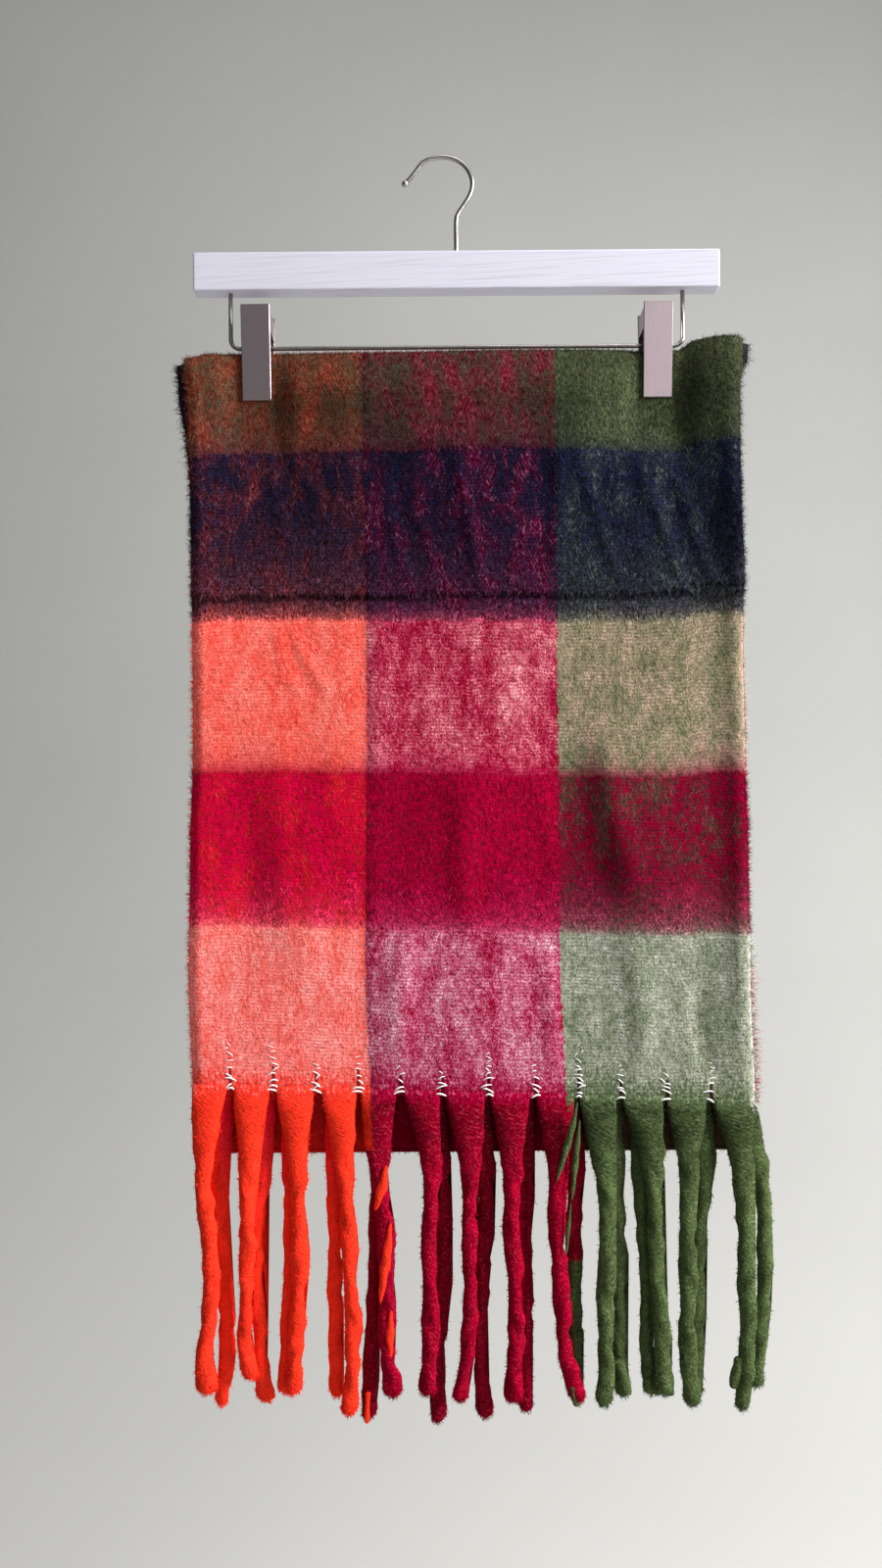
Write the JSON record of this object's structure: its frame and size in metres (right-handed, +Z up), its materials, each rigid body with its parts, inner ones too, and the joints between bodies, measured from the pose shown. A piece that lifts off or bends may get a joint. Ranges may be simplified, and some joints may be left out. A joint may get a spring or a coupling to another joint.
{
  "type": "checked blanket scarf on a clip hanger",
  "caption": "Brushed block-check blanket scarf with rope tassels, folded to four layers and held by its top turn in the clips of a white wooden hanger.",
  "frame": {"origin": "the inside top of the hanger hook's crook, in the hanger's mid-plane, where a rail or a wall hook carries it", "axes": "+Z up, +X to the right as seen from the front, the front with both fringes faces -Y"},
  "size_m": [0.4062, 0.0319, 0.871],
  "materials": {
    "brushed_cloth": "brushed, hairy woven cloth in a large block check of orange, crimson and green over green, navy, peach, crimson and white",
    "fringe_yarn": "hairy twisted yarn in orange, crimson and green",
    "painted_wood": "thin white satin paint over open grain",
    "steel_wire": "drawn wire, dull bright",
    "clip_plate": "satin plated steel with bright bevelled edges"
  },
  "bodies": {
    "root": {"scarf_outer_turn": "brushed_cloth", "scarf_inner_turn": "brushed_cloth", "fringe_front": "fringe_yarn", "fringe_second": "fringe_yarn", "hanger_bar": "painted_wood", "hanger_hook": "steel_wire", "hanger_rod": "steel_wire", "clip_left_front": "clip_plate", "clip_left_back": "clip_plate", "clip_left_spring": "clip_plate", "clip_right_front": "clip_plate", "clip_right_back": "clip_plate", "clip_right_spring": "clip_plate"}
  },
  "joints": []
}
